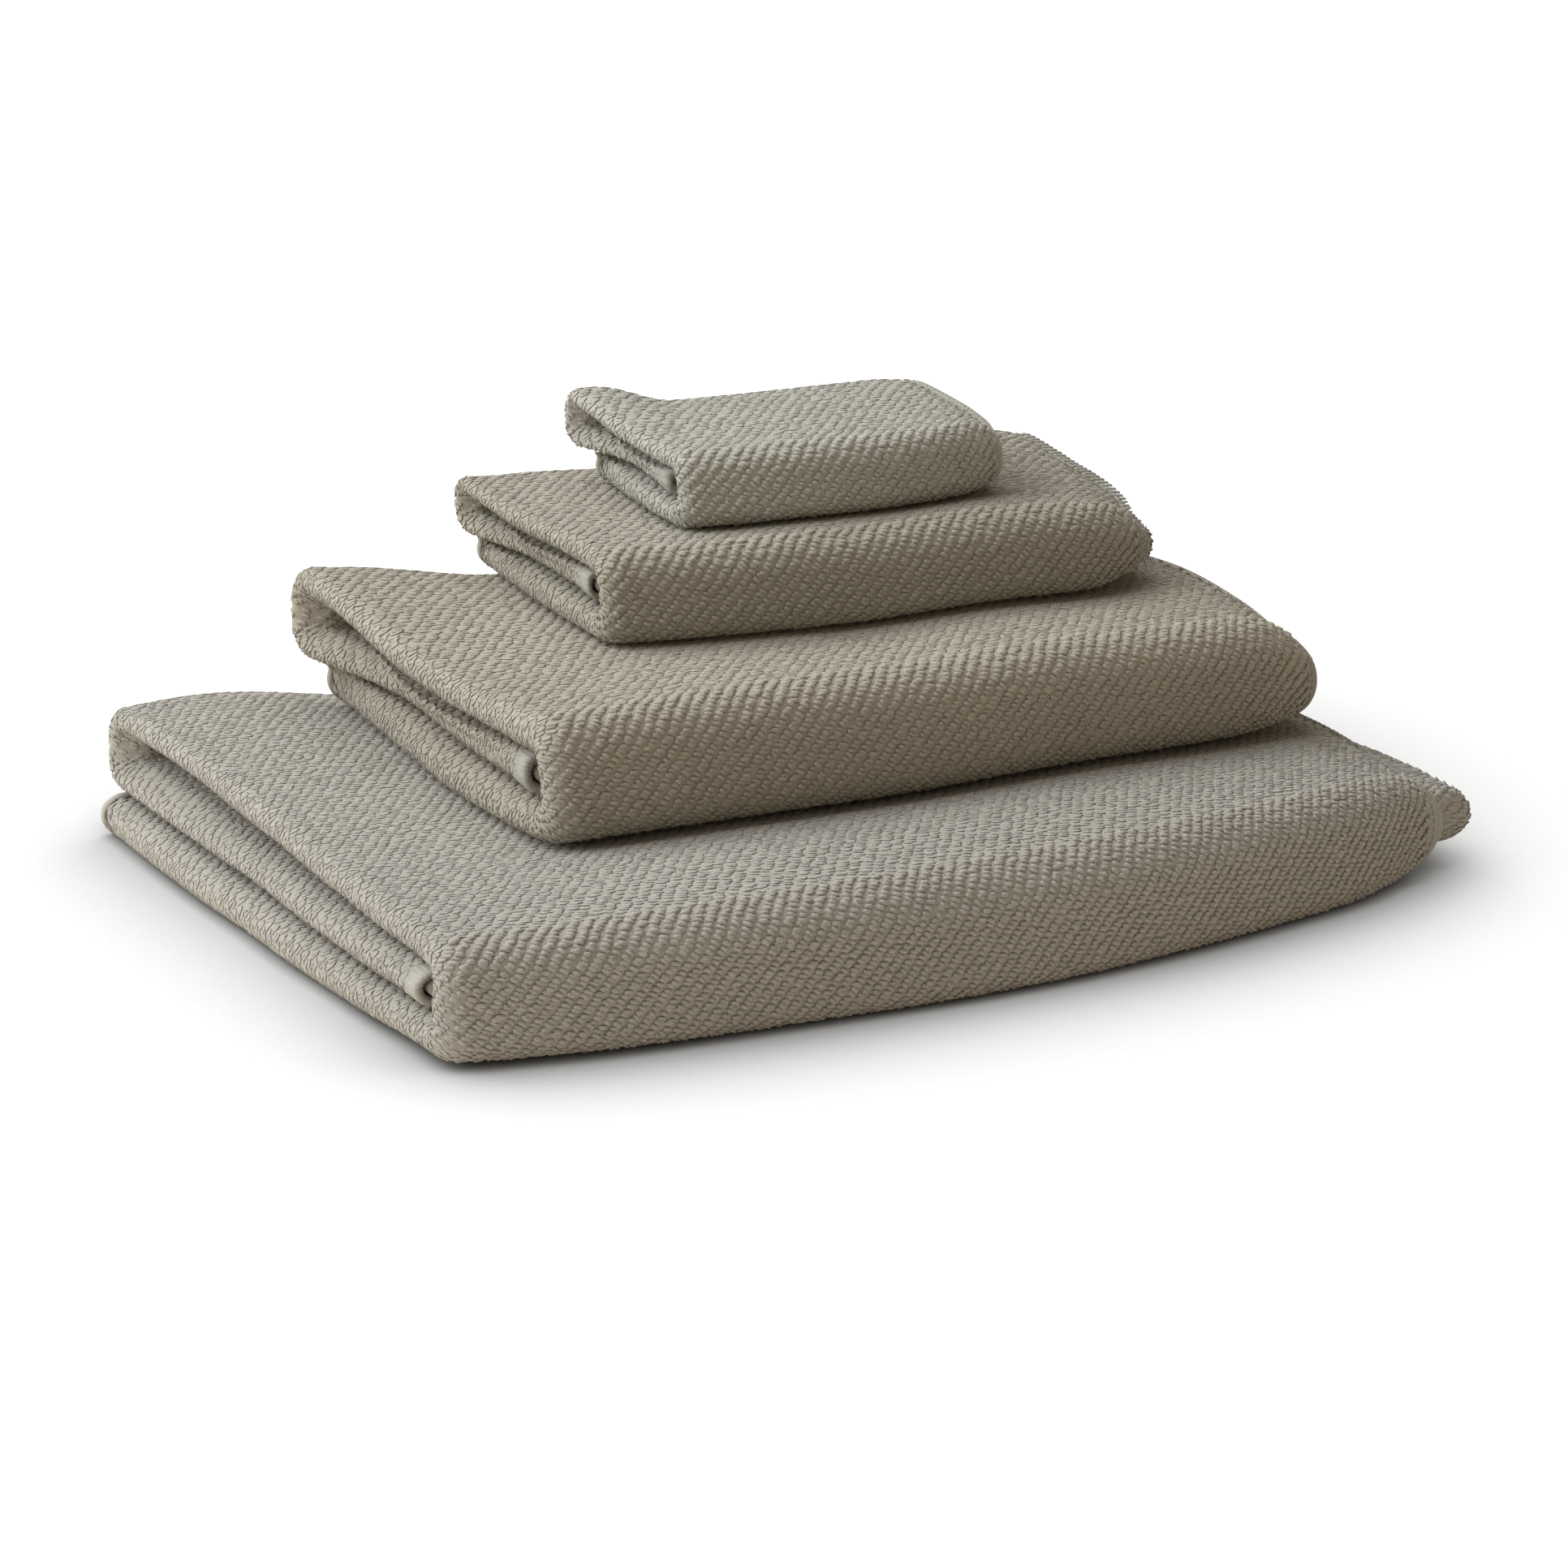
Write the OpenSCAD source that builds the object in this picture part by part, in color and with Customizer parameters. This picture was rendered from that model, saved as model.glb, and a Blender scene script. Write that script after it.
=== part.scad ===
// Bath towel set: four folded terry towels stacked by size, largest at the bottom.
// Every towel is quartered end over end (the washcloth is halved), then letter-folded in
// thirds: one long wrap along the front, the last third tucked in between the other two.
// Units are millimetres. X runs along the front, Y to the back, Z up, and the origin is at
// the middle of the bath sheet's footprint, on the shelf.

/* [Bath sheet] */
// Folded length, from the left fold to the end hem
bath_sheet_len = 450; // [370:5:560]
// Folded depth, from the front wrap to the back wrap
bath_sheet_depth = 334; // [270:2:410]
// Thickness of one ply of cloth with its pile
bath_sheet_ply = 3.75; // [3:0.05:5]
// How far the inner fold stands out past the end hem
bath_sheet_peek = 13; // [2:0.5:20]
// Width of the end hems
bath_sheet_end_hem = 16; // [8:0.5:24]

/* [Bath towel] */
// Folded length, from the left fold to the end hem
bath_towel_len = 350; // [290:5:420]
// Folded depth, from the front wrap to the back wrap
bath_towel_depth = 236; // [195:2:285]
// Thickness of one ply of cloth with its pile
bath_towel_ply = 4; // [3:0.05:5]
// How far the inner fold stands out past the end hem
bath_towel_peek = 5; // [2:0.5:15]
// Width of the end hems
bath_towel_end_hem = 14; // [8:0.5:24]
// Set-back of its front left corner from the bath sheet's, along the front
bath_towel_set_x = 81; // [0:1:120]
// Set-back of its front left corner from the bath sheet's, to the back
bath_towel_set_y = 76; // [0:1:120]

/* [Hand towel] */
// Folded length, from the left fold to the end hem
hand_towel_len = 250; // [205:5:300]
// Folded depth, from the front wrap to the back wrap
hand_towel_depth = 154; // [125:2:190]
// Thickness of one ply of cloth with its pile
hand_towel_ply = 2.95; // [2:0.05:4]
// How far the inner fold stands out past the end hem
hand_towel_peek = 4; // [2:0.5:12]
// Width of the end hems
hand_towel_end_hem = 10; // [6:0.5:16]
// Set-back of its front left corner from the bath towel's, along the front
hand_towel_set_x = 68; // [0:1:100]
// Set-back of its front left corner from the bath towel's, to the back
hand_towel_set_y = 88; // [0:1:110]
// Turn on the pile, clockwise from above is negative
hand_towel_turn = -3.9; // [-10:0.1:10]

/* [Washcloth] */
// Folded length, from the left fold to the end hem
washcloth_len = 148; // [120:2:180]
// Folded depth, from the front wrap to the back wrap
washcloth_depth = 102; // [84:2:125]
// Thickness of one ply of cloth with its pile
washcloth_ply = 4.8; // [3.5:0.05:6]
// Width of the end hems
washcloth_end_hem = 8; // [5:0.5:12]
// Set-back of its front left corner from the hand towel's, along the front
washcloth_set_x = 46; // [0:1:70]
// Set-back of its front left corner from the hand towel's, to the back
washcloth_set_y = 28; // [0:1:45]
// Turn on the pile, clockwise from above is negative
washcloth_turn = -4.1; // [-10:0.1:10]

/* [Folding] */
// Gap between two folded thirds
slit = 1.5; // [0.8:0.1:3]
// Width of the side hems
side_hem = 9; // [6:0.5:14]
// Hollow left between the tucked side hem and the front wrap
pocket = 10; // [4:1:24]
// How far the bottom third's free edge stays short of the back wrap
back_step = 6; // [0:1:15]
// Air between two towels in the stack
stack_gap = 0.3; // [0.2:0.1:1]

/* [Hem stitching] */
// Thickness of the sewing thread
thread = 0.6; // [0.3:0.1:1]
// Distance of the stitch line from the outer edge of the hem
stitch_inset = 3; // [1.5:0.5:4]

/* [Hidden] */

$fn = 32;
arc_steps = 8;        // straight pieces in each quarter turn of a wrap
quarter_plies = 4;    // plies in each third of a towel that was quartered
half_plies = 2;       // plies in each third of the washcloth, which was halved
thirds = 3;
no_peek = 0;          // the washcloth is folded once, so it has no inner fold to stand out
scallop = 0.3;        // depth of the grooves between rolled side hems, in plies

grey_cream = [0.78, 0.76, 0.71];
warm_beige = [0.76, 0.72, 0.62];
pale_cream = [0.82, 0.81, 0.77];
hem_white = [0.88, 0.86, 0.82];
thread_grey = [0.62, 0.59, 0.54];

// One towel's sizes: length, depth, ply, plies in a third, end hem width, inner fold's peek
bath_sheet = [bath_sheet_len, bath_sheet_depth, bath_sheet_ply, quarter_plies,
              bath_sheet_end_hem, bath_sheet_peek];
bath_towel = [bath_towel_len, bath_towel_depth, bath_towel_ply, quarter_plies,
              bath_towel_end_hem, bath_towel_peek];
hand_towel = [hand_towel_len, hand_towel_depth, hand_towel_ply, quarter_plies,
              hand_towel_end_hem, hand_towel_peek];
washcloth = [washcloth_len, washcloth_depth, washcloth_ply, half_plies,
             washcloth_end_hem, no_peek];

function length_of(towel) = towel[0];
function depth_of(towel) = towel[1];
function ply_of(towel) = towel[2];
function plies_of(towel) = towel[3];
function hem_of(towel) = towel[4];
function peek_of(towel) = towel[5];
function third_of(towel) = ply_of(towel) * plies_of(towel);
function height_of(towel) = thirds * third_of(towel) + (thirds - 1) * slit;
function wrap_radius(towel) = third_of(towel) + slit / 2;
function middle_z(towel) = third_of(towel) + slit;
function tucked_end(towel) = third_of(towel) + pocket + side_hem;
function free_end(towel) = depth_of(towel) - back_step - side_hem;
function hem_start(towel) = length_of(towel) - hem_of(towel);

// A quarter turn about [y, z], from angle a0 to a1
function quarter_turn(y, z, r, a0, a1) = [
    for (i = [0 : arc_steps])
        let (a = a0 + (a1 - a0) * i / arc_steps)
            [y + r * cos(a), z + r * sin(a)]
];

// The cloth's run through the letter fold, seen from the left end, at a depth under its
// outer face: bottom third, front wrap, top third, back wrap, tucked third
function letter_run(towel, under) =
    let (d = depth_of(towel), h = height_of(towel), r = wrap_radius(towel))
    let (m = middle_z(towel))
    concat(
        [[free_end(towel), under]],
        quarter_turn(r, r, r - under, 270, 180),
        quarter_turn(r, h - r, r - under, 180, 90),
        quarter_turn(d - r, h - r, r - under, 90, 0),
        quarter_turn(d - r, m + r, r - under, 0, -90),
        [[tucked_end(towel), m + under]]
    );

function reversed(points) = [for (i = [len(points) - 1 : -1 : 0]) points[i]];

// Cloth between two depths under the outer face, over a stretch of the folded length
module letter_band(towel, from_x, to_x, top, bottom) {
    translate([from_x, 0, 0])
        rotate([90, 0, 90])
            linear_extrude(to_x - from_x)
                polygon(concat(letter_run(towel, top), reversed(letter_run(towel, bottom))));
}

// The terry itself. All its plies reach the hems, and the inner fold goes on past them.
module terry(towel) {
    letter_band(towel, 0, hem_start(towel), 0, third_of(towel));
    if (plies_of(towel) > half_plies)
        letter_band(towel, hem_start(towel), length_of(towel) + peek_of(towel),
                    half_plies * ply_of(towel), third_of(towel));
}

// A turned end hem, one ply thick, with the channel that its stitches pull in
module end_hem(towel, ply_number) {
    top = ply_number * ply_of(towel);
    bottom = top + ply_of(towel);
    difference() {
        letter_band(towel, hem_start(towel), length_of(towel), top, bottom);
        stitch_line(towel, ply_number);
    }
}

// The line of lock stitches along one end hem, lying flush in its channel
module stitch_line(towel, ply_number) {
    top = ply_number * ply_of(towel);
    at_x = length_of(towel) - stitch_inset - thread;
    letter_band(towel, at_x, at_x + thread, top, top + thread);
}

// Rolled side hems of all the plies in one third, with their noses towards +Y
module side_hem_bar(towel) {
    nose = ply_of(towel) / 2;
    rotate([90, 0, 90])
        linear_extrude(hem_start(towel)) {
            square([side_hem - nose - scallop * ply_of(towel), third_of(towel)]);
            for (i = [0 : plies_of(towel) - 1])
                translate([side_hem - nose, (i + 0.5) * ply_of(towel)]) {
                    circle(nose);
                    translate([-nose, -nose])
                        square([nose, 2 * nose]);
                }
        }
}

module tucked_side_hem(towel) {
    translate([0, tucked_end(towel), middle_z(towel)])
        mirror([0, 1, 0])
            side_hem_bar(towel);
}

module back_side_hem(towel) {
    translate([0, free_end(towel), 0])
        side_hem_bar(towel);
}

module hem_thread(towel) {
    stitch_line(towel, 0);
    stitch_line(towel, 1);
}

// Places in the stack: each towel stands on the one below and is set back from its corner
module on_shelf() {
    translate([-(bath_sheet_len + bath_sheet_peek) / 2, -bath_sheet_depth / 2, 0])
        children();
}

module on_bath_sheet() {
    on_shelf()
        translate([bath_towel_set_x, bath_towel_set_y, height_of(bath_sheet) + stack_gap])
            children();
}

module on_bath_towel() {
    on_bath_sheet()
        translate([hand_towel_set_x, hand_towel_set_y, height_of(bath_towel) + stack_gap])
            rotate([0, 0, hand_towel_turn])
                children();
}

module on_hand_towel() {
    on_bath_towel()
        translate([washcloth_set_x, washcloth_set_y, height_of(hand_towel) + stack_gap])
            rotate([0, 0, washcloth_turn - hand_towel_turn])
                children();
}

module bath_sheet_terry() { color(grey_cream) on_shelf() terry(bath_sheet); }
module bath_sheet_outer_end_hem() { color(hem_white) on_shelf() end_hem(bath_sheet, 0); }
module bath_sheet_inner_end_hem() { color(hem_white) on_shelf() end_hem(bath_sheet, 1); }
module bath_sheet_tucked_side_hem() { color(hem_white) on_shelf() tucked_side_hem(bath_sheet); }
module bath_sheet_back_side_hem() { color(hem_white) on_shelf() back_side_hem(bath_sheet); }
module bath_sheet_hem_thread() { color(thread_grey) on_shelf() hem_thread(bath_sheet); }

module bath_towel_terry() { color(warm_beige) on_bath_sheet() terry(bath_towel); }
module bath_towel_outer_end_hem() { color(hem_white) on_bath_sheet() end_hem(bath_towel, 0); }
module bath_towel_inner_end_hem() { color(hem_white) on_bath_sheet() end_hem(bath_towel, 1); }
module bath_towel_tucked_side_hem() { color(hem_white) on_bath_sheet() tucked_side_hem(bath_towel); }
module bath_towel_back_side_hem() { color(hem_white) on_bath_sheet() back_side_hem(bath_towel); }
module bath_towel_hem_thread() { color(thread_grey) on_bath_sheet() hem_thread(bath_towel); }

module hand_towel_terry() { color(warm_beige) on_bath_towel() terry(hand_towel); }
module hand_towel_outer_end_hem() { color(hem_white) on_bath_towel() end_hem(hand_towel, 0); }
module hand_towel_inner_end_hem() { color(hem_white) on_bath_towel() end_hem(hand_towel, 1); }
module hand_towel_tucked_side_hem() { color(hem_white) on_bath_towel() tucked_side_hem(hand_towel); }
module hand_towel_back_side_hem() { color(hem_white) on_bath_towel() back_side_hem(hand_towel); }
module hand_towel_hem_thread() { color(thread_grey) on_bath_towel() hem_thread(hand_towel); }

module washcloth_terry() { color(pale_cream) on_hand_towel() terry(washcloth); }
module washcloth_outer_end_hem() { color(hem_white) on_hand_towel() end_hem(washcloth, 0); }
module washcloth_inner_end_hem() { color(hem_white) on_hand_towel() end_hem(washcloth, 1); }
module washcloth_tucked_side_hem() { color(hem_white) on_hand_towel() tucked_side_hem(washcloth); }
module washcloth_back_side_hem() { color(hem_white) on_hand_towel() back_side_hem(washcloth); }
module washcloth_hem_thread() { color(thread_grey) on_hand_towel() hem_thread(washcloth); }

bath_sheet_terry();
bath_sheet_outer_end_hem();
bath_sheet_inner_end_hem();
bath_sheet_tucked_side_hem();
bath_sheet_back_side_hem();
bath_sheet_hem_thread();
bath_towel_terry();
bath_towel_outer_end_hem();
bath_towel_inner_end_hem();
bath_towel_tucked_side_hem();
bath_towel_back_side_hem();
bath_towel_hem_thread();
hand_towel_terry();
hand_towel_outer_end_hem();
hand_towel_inner_end_hem();
hand_towel_tucked_side_hem();
hand_towel_back_side_hem();
hand_towel_hem_thread();
washcloth_terry();
washcloth_outer_end_hem();
washcloth_inner_end_hem();
washcloth_tucked_side_hem();
washcloth_back_side_hem();
washcloth_hem_thread();
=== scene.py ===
import math
import bmesh
import bpy
import numpy as np
from mathutils import Matrix, Vector


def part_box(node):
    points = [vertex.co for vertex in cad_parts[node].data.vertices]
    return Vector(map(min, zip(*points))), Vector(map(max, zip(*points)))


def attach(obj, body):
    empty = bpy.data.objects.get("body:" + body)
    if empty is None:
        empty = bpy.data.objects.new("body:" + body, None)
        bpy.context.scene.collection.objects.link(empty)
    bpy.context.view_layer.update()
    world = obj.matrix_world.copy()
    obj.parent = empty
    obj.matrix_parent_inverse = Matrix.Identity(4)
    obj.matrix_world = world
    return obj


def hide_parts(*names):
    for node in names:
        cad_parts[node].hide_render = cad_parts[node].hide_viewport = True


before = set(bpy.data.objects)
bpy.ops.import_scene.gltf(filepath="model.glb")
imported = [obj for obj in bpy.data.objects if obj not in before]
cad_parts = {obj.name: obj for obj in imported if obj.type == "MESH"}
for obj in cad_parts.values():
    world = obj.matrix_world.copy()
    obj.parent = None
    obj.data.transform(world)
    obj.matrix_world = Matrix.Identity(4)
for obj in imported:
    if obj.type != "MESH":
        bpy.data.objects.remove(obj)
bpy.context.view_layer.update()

# what all four towels share, in metres: the same folds and gaps as the solids
folding = dict(
    slit=0.0015,  # air between the thirds
    sideHem=0.009, edgeShown=0.0050,  # rolled side hems, and how much of an end hem is bare
    pocket=0.010,  # hollow between the tucked hem and the front wrap
    backStep=0.006,  # how far the bottom third stops short of the back
    pileRoom=0.0009,  # room for the pile under a ply's face
    plySpare=0.0001,  # the ground cloth is this much thinner than the room left for it
    pastEnd=0.006, pinch=0.030)  # where the right end's closing in ends, and how deep it spreads

# each towel, in metres, degrees and shares of its own size:
# cut and fold, ribs, plan shape, lift and wraps, left folds, right end, top, and seam
bathSheet = dict(
    name="bath_sheet", plies=4, ply=0.00375, length=0.450, depth=0.334, peek=0.013, endHem=0.016,
    turn=0.0, flat=(1.04, 1.80), restsOn=(), slot="terry_grey_cream", seed=3,
    ribPitch=0.00425, loopGap=0.0020, ribAngle=52,
    frontBow=0.0185, insetLeft=0.0134, insetRight=0.0054, backBow=0.006, backInset=0.002,
    liftLeft=0.0027, liftRight=0.0012, squareTop=0.07, squareBottom=0.17,
    foldOut=0.004, foldOutLow=0.006, foldInLow=0.0, kick=0.002, kickUp=0.009,
    recess=0.005, topIn=0.011, hollow=0.30, pocketIn=0.009,
    rightOut=0.002, rightFlare=0.0, rightBulge=0.009, peekOut=0.012, peekIn=0.013, cornerIn=0.005,
    endReach=0.060, endDrop=0.0035, endLift=0.004, endIn=0.008,
    frontRise=0.008, dip=0.0, press=0.0015, wave=0.0010, lump=0.0012, stitch="seam")
bathTowel = dict(
    name="bath_towel", plies=4, ply=0.004, length=0.350, depth=0.236, peek=0.005, endHem=0.014,
    turn=0.0, flat=(0.76, 1.40), restsOn=("bathSheetTerry",), slot="terry_warm_beige", seed=5,
    ribPitch=0.0046, loopGap=0.0020, ribAngle=52,
    frontBow=0.006, insetLeft=0.009, insetRight=-0.003, backBow=0.004, backInset=0.002,
    liftLeft=0.0, liftRight=0.003, squareTop=0.07, squareBottom=0.12,
    foldOut=0.002, foldOutLow=0.0, foldInLow=0.008, kick=0.009, kickUp=0.012,
    recess=0.007, topIn=0.0, hollow=0.34, pocketIn=0.009,
    rightOut=0.012, rightFlare=0.0, rightBulge=0.003, peekOut=0.0, peekIn=0.004, cornerIn=0.009,
    endReach=0.040, endDrop=0.008, endLift=0.004, endIn=0.007,
    frontRise=0.004, dip=0.0, press=0.0, wave=0.0010, lump=0.0011, stitch="seam")
handTowel = dict(
    name="hand_towel", plies=4, ply=0.00295, length=0.250, depth=0.154, peek=0.004, endHem=0.010,
    turn=-3.9, flat=(0.49, 1.00), restsOn=("bathTowelTerry",), slot="terry_beige", seed=8,
    ribPitch=0.0045, loopGap=0.0020, ribAngle=52,
    frontBow=0.004, insetLeft=0.006, insetRight=0.001, backBow=0.003, backInset=0.002,
    liftLeft=0.0, liftRight=0.003, squareTop=0.07, squareBottom=0.12,
    foldOut=0.002, foldOutLow=0.0, foldInLow=0.004, kick=0.006, kickUp=0.003,
    recess=0.006, topIn=0.0, hollow=0.24, pocketIn=0.007,
    rightOut=0.007, rightFlare=0.016, rightBulge=0.003, peekOut=0.0, peekIn=0.004, cornerIn=0.006,
    endReach=0.035, endDrop=0.007, endLift=0.005, endIn=0.006,
    frontRise=0.002, dip=0.0, press=0.0, wave=0.0008, lump=0.0010, stitch="whip")
washcloth = dict(
    name="washcloth", plies=2, ply=0.0048, length=0.148, depth=0.102, peek=0.0, endHem=0.008,
    turn=-4.1, flat=(0.32, 0.30), restsOn=("handTowelTerry",), slot="terry_pale_cream", seed=11,
    ribPitch=0.0042, loopGap=0.0019, ribAngle=52,
    frontBow=0.006, insetLeft=0.004, insetRight=0.004, backBow=0.002, backInset=0.001,
    liftLeft=0.0, liftRight=0.001, squareTop=0.07, squareBottom=0.12,
    foldOut=0.001, foldOutLow=0.0, foldInLow=0.003, kick=0.011, kickUp=0.010,
    recess=0.005, topIn=0.0, hollow=0.30, pocketIn=0.006,
    rightOut=0.007, rightFlare=0.002, rightBulge=0.002, peekOut=0.0, peekIn=0.0, cornerIn=0.005,
    endReach=0.025, endDrop=0.005, endLift=0.003, endIn=0.005,
    frontRise=0.001, dip=-0.002, press=0.0, wave=0.0006, lump=0.0008, stitch="seam")
towels = [bathSheet, bathTowel, handTowel, washcloth]

# sizes of lumps and waves in the cloth, in metres
lumpSizes = dict(top=0.11, slit=0.16, leftFolds=0.09, wraps=0.13)


def smooth(value, low, high):
    t = np.clip((value - low) / (high - low), 0, 1)
    return t * t * (3 - 2 * t)


def hill(share):
    # 0 at both ends, 1 in the middle
    return 1 - (2 * np.clip(share, 0, 1) - 1) ** 2


def ripples(a, b, seed, size):
    # a smooth seeded surface of about -1 to 1, with lumps of about the given size
    rng = np.random.default_rng(seed)
    total = np.zeros(np.broadcast(a, b).shape)
    for k in range(6):
        turn, phase = rng.uniform(0, 2 * math.pi, 2)
        wave = size * rng.uniform(0.7, 1.6)
        total += np.sin((a * math.cos(turn) + b * math.sin(turn)) * 2 * math.pi / wave + phase)
    return total / 3.2


def thirdOf(t):
    return t["ply"] * t["plies"]


def heightOf(t):
    return 3 * thirdOf(t) + 2 * folding["slit"]


def nearEnd(t, x):
    # 0 along the towel, 1 at its right end
    return smooth(x, t["length"] - t["endReach"], t["length"] + folding["pastEnd"]) ** 1.5


def findPlace(t):
    # the towel's front left bottom corner, read from its solids
    turn = math.radians(t["turn"])
    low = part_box(t["name"] + "_terry")[0]
    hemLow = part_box(t["name"] + "_outer_end_hem")[0]
    t["corner"] = (low[0], hemLow[1] - t["length"] * math.sin(turn), low[2])
    t["axes"] = (math.cos(turn), math.sin(turn))


def toWorld(t, x, y, z):
    c, s = t["axes"]
    x0, y0, z0 = t["corner"]
    return x0 + c * x - s * y, y0 + s * x + c * y, z0 + z


def toLocal(t, x, y):
    c, s = t["axes"]
    x0, y0 = t["corner"][:2]
    return c * (x - x0) + s * (y - y0), -s * (x - x0) + c * (y - y0)


def topRise(t, x, y):
    # how far a towel's top stands over its solid's top at a place on its plan
    u = np.clip(x / t["length"], 0, 1)
    v = np.clip(y / t["depth"], 0, 1)
    rise = t["frontRise"] * hill(u) * smooth(v, -0.06, 0.13) * (1 - smooth(v, 0.13, 0.34))
    rise = rise - t["dip"] * hill(u) * smooth(v, 0.2, 0.9)
    rise = rise + t["kickUp"] * smooth(v, 0.30, 1.0) * (1 - smooth(u, 0.06, 0.28))
    rise = rise - t["press"] * smooth(v, 0.22, 0.45) * smooth(u, 0.12, 0.30)
    rise = rise - t["endDrop"] * nearEnd(t, x) * (1.6 - 1.05 * smooth(v, 0.0, 0.5))
    return rise + t["wave"] * ripples(x, y, t["seed"], lumpSizes["top"]) * smooth(v, 0, 0.2)


def riseBelow(t, x, y):
    # how far the softened tops of the towels underneath lift this one
    below = t.get("below")
    if below is None:
        return 0.0
    wx, wy, _ = toWorld(t, x, y, 0.0)
    bx, by = toLocal(below, wx, wy)
    return topRise(below, bx, by) + riseBelow(below, bx, by)


def squareUp(y, z, cy, cz, r, amount):
    # pushes a round wrap out towards its corner, most at its outer face
    dy, dz = y - cy, z - cz
    reach = np.hypot(dy, dz) / r
    bulge = 4 * (dy * dz) ** 2 / np.maximum((dy * dy + dz * dz) ** 2, 1e-18)
    grow = amount * bulge * np.minimum(reach, 1.2) ** 2
    return y + dy * grow, z + dz * grow


def soften(t, x, y, z):
    # bends the squarely folded cloth into the soft shape of a real one
    third, slit, tall = thirdOf(t), folding["slit"], heightOf(t)
    r = third + slit / 2
    u = np.clip(x / t["length"], 0, 1)
    v = np.clip(y / t["depth"], 0, 1)
    h = np.clip(z / tall, 0, 1)
    topness = smooth(h, 0.50, 0.72)
    midness = smooth(h, 0.22, 0.40) * (1 - topness)
    lowness = 1 - smooth(h, 0.22, 0.40)
    # wraps squarer than round at the front's top and bottom
    low = (y < r) & (z < r)
    high = (y < r) & (z > tall - r)
    yLow, zLow = squareUp(y, z, r, r, r, t["squareBottom"])
    yHigh, zHigh = squareUp(y, z, r, tall - r, r, t["squareTop"])
    y0 = np.where(low, yLow, np.where(high, yHigh, y))
    z0 = np.where(low, zLow, np.where(high, zHigh, z))
    # near the left end's back the middle third gives way and the top one lifts, which opens the slit
    midLow = third + slit
    midTop = 2 * third + slit
    slitTop = midTop + slit
    squeeze = t["hollow"] * smooth(v, 0.10, 0.65) * (1 - smooth(u, 0.0, 0.35))
    newTop = midTop - squeeze * third
    newRoof = slitTop + 0.35 * squeeze * third
    inMid = (z > midLow) & (z <= midTop)
    inSlit = (z > midTop) & (z <= slitTop)
    z1 = np.where(inMid, midLow + (z - midLow) * (newTop - midLow) / third, z0)
    z1 = np.where(inSlit, newTop + (z - midTop) * (newRoof - newTop) / slit, z1)
    z1 = np.where((z > slitTop) & ~high, newRoof + (z - slitTop) * (tall - newRoof) / third, z1)
    # slits that wander
    wander = t["wave"] * (1 - smooth(np.abs(h - 0.5), 0.25, 0.5))
    z1 = z1 + wander * ripples(y, x * 0.5, t["seed"] + 20, lumpSizes["slit"])
    # the right end closes in towards its hems
    edge = nearEnd(t, x)
    z1 = z1 + edge * t["endLift"] * (1 - smooth(h, 0.0, 0.5))
    toBack = np.exp(-y / folding["pinch"])
    toFront = np.exp(-(t["depth"] - y) / folding["pinch"])
    y1 = y0 + edge * t["endIn"] * (toBack - toFront)
    # plan shape: a bowed front, a slightly bowed back
    insets = t["insetLeft"] * (1 - u) + t["insetRight"] * u
    bow = (t["frontBow"] + (t["insetLeft"] + t["insetRight"]) / 2) * hill(u)
    y1 = y1 - (bow - insets) * (1 - v) ** 1.6
    y1 = y1 + (t["backBow"] * hill(u) - t["backInset"]) * v ** 3
    # left folds: how far each third's folds stand out towards the back
    back = smooth(v, 0.25, 1.0)
    left = (1 - u) ** 4
    farBack = smooth(v, 0.55, 0.95)
    wrapped = np.maximum(topness, (1 - lowness) * farBack)
    out = t["foldOut"] * hill(v) + t["kick"] * wrapped * back
    out = out + t["foldOutLow"] * lowness * back - t["foldInLow"] * (1 - wrapped) * back
    x1 = x - out * left + (t["recess"] * midness + t["topIn"] * topness) * hill(v) * (1 - u) ** 6
    # the slit's end is drawn in where the back wrap closes it
    past = np.maximum(y - (t["depth"] - r), 0)
    nearSlit = np.exp(-(past ** 2 + (z - slitTop + slit / 2) ** 2) / (0.42 * third) ** 2)
    x1 = x1 + t["pocketIn"] * nearSlit * smooth(v, 0.55, 0.85) * (1 - u) ** 8
    x1 = x1 + (t["rightOut"] + t["rightFlare"] * v + t["rightBulge"] * hill(v)) * u ** 2
    # the right end's front corner is rounded off, most at its top and bottom
    corner = smooth(u, 0.80, 1.0) * (1 - smooth(v, 0.0, 0.28))
    x1 = x1 - t["cornerIn"] * corner * (0.35 + 0.65 * (2 * h - 1) ** 2)
    # the inner fold stands out as a round nose at the front, and hardly at all further back
    inner = smooth(x, t["length"] - 0.012, t["length"] + t["peek"])
    nose = hill(h) * (1 - smooth(v, 0.06, 0.45))
    x1 = x1 + (t["peekOut"] * nose - t["peekIn"] * (1 - nose)) * inner
    x1 = x1 + 0.6 * t["lump"] * ripples(y, z * 0.6, t["seed"] + 31, lumpSizes["leftFolds"]) * left
    # lumps of the front and back wraps
    face = (1 - smooth(v, 0, 0.12)) - smooth(v, 0.88, 1)
    y1 = y1 + t["lump"] * ripples(x, z * 0.8, t["seed"] + 40, lumpSizes["wraps"]) * face
    # heights: the top's rise, the bottom's lifted corners and the pile below
    z1 = z1 + h * topRise(t, x, y)
    lift = t["liftLeft"] * (1 - u) ** 4 + t["liftRight"] * u ** 4
    z1 = z1 + lift * (1 - smooth(v, 0.0, 0.35)) * (1 - h)
    z1 = z1 + riseBelow(t, x, y)
    return x1, y1, z1


def shaped(t, x, y, z):
    x, y, z = np.broadcast_arrays(x, y, z)
    return np.stack(toWorld(t, *soften(t, x, y, z)), axis=-1)


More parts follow.
